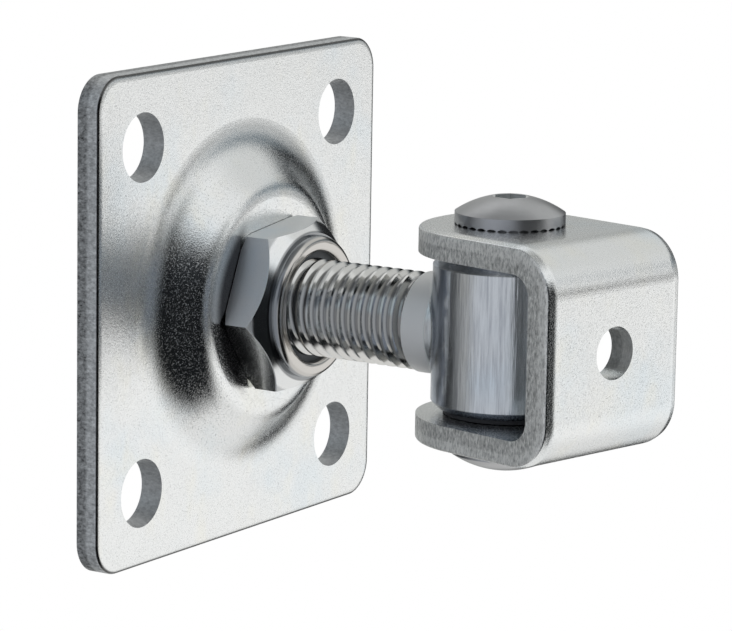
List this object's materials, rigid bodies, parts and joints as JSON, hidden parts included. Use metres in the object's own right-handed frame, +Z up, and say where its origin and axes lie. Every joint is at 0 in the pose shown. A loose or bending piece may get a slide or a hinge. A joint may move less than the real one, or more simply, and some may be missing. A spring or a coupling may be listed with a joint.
{
  "type": "adjustable gate hinge",
  "caption": "Square domed wall plate with a captive hex nut that winds a threaded eye bolt in and out; a U-shaped clevis swings on the eye's pivot pin to carry a gate.",
  "frame": {"origin": "centre of the four screw holes, on the back face of the wall plate", "axes": "+X out of the post along the stud, +Z up along the pivot pin, +Y along the plate"},
  "size_m": [0.1, 0.1, 0.1],
  "materials": {
    "zinc_sheet": "satin",
    "zinc_turned": "satin",
    "lock_polymer": "matte",
    "bush_polymer": "matte"
  },
  "bodies": {
    "plate": {"wall_plate": "zinc_sheet"},
    "nut": {"adjusting_nut": "zinc_turned", "lock_ring": "lock_polymer", "retaining_washer": "zinc_turned"},
    "eye": {"eye_bolt": "zinc_turned", "upper_bush": "bush_polymer", "lower_bush": "bush_polymer"},
    "clevis": {"clevis": "zinc_sheet", "pivot_pin": "zinc_turned", "upper_pivot_screw": "zinc_turned", "lower_pivot_screw": "zinc_turned"}
  },
  "joints": [
    {"name": "nut_turn", "type": "hinge", "parent": "plate", "child": "nut", "pos_m": [0.013, 0, 0], "axis": [1, 0, 0], "range_deg": [-576, 2304]},
    {"name": "stud_slide", "type": "slide", "parent": "plate", "child": "eye", "axis": [1, 0, 0], "range_m": [-0.016, 0.004]},
    {"name": "clevis_swing", "type": "hinge", "parent": "eye", "child": "clevis", "pos_m": [0.0686, 0, 0], "axis": [0, 0, 1], "range_deg": [-97, 122]}
  ],
  "couplings": [
    {"joint": "nut_turn", "follows": "stud_slide", "rad_per_m": -2513.3}
  ]
}
